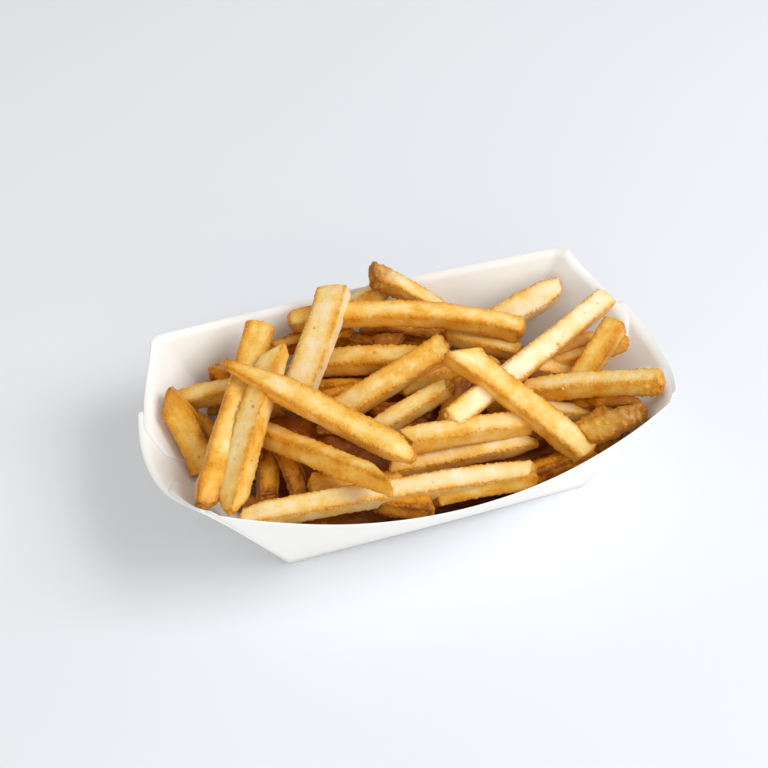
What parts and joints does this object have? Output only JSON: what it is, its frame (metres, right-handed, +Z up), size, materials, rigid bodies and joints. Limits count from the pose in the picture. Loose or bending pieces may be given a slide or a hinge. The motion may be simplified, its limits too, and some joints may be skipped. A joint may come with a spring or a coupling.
{
  "type": "french fries in a paperboard tray",
  "caption": "Straight-cut fried potato pieces heaped in an open folded white paperboard tray with leaning walls, curved rims and glued end flaps",
  "frame": {"origin": "On the surface that the tray stands on, under the middle of its rectangular base", "axes": "+X along the tray to the right end, +Y across it towards the back long wall, +Z up"},
  "size_m": [0.1835, 0.1138, 0.0499],
  "materials": {
    "paperboard": "white clay-coated paperboard, semi-matt",
    "fried_potato": "golden fried potato with a thin film of oil"
  },
  "bodies": {
    "root": {"tray": "paperboard", "fries": "fried_potato"}
  },
  "joints": []
}
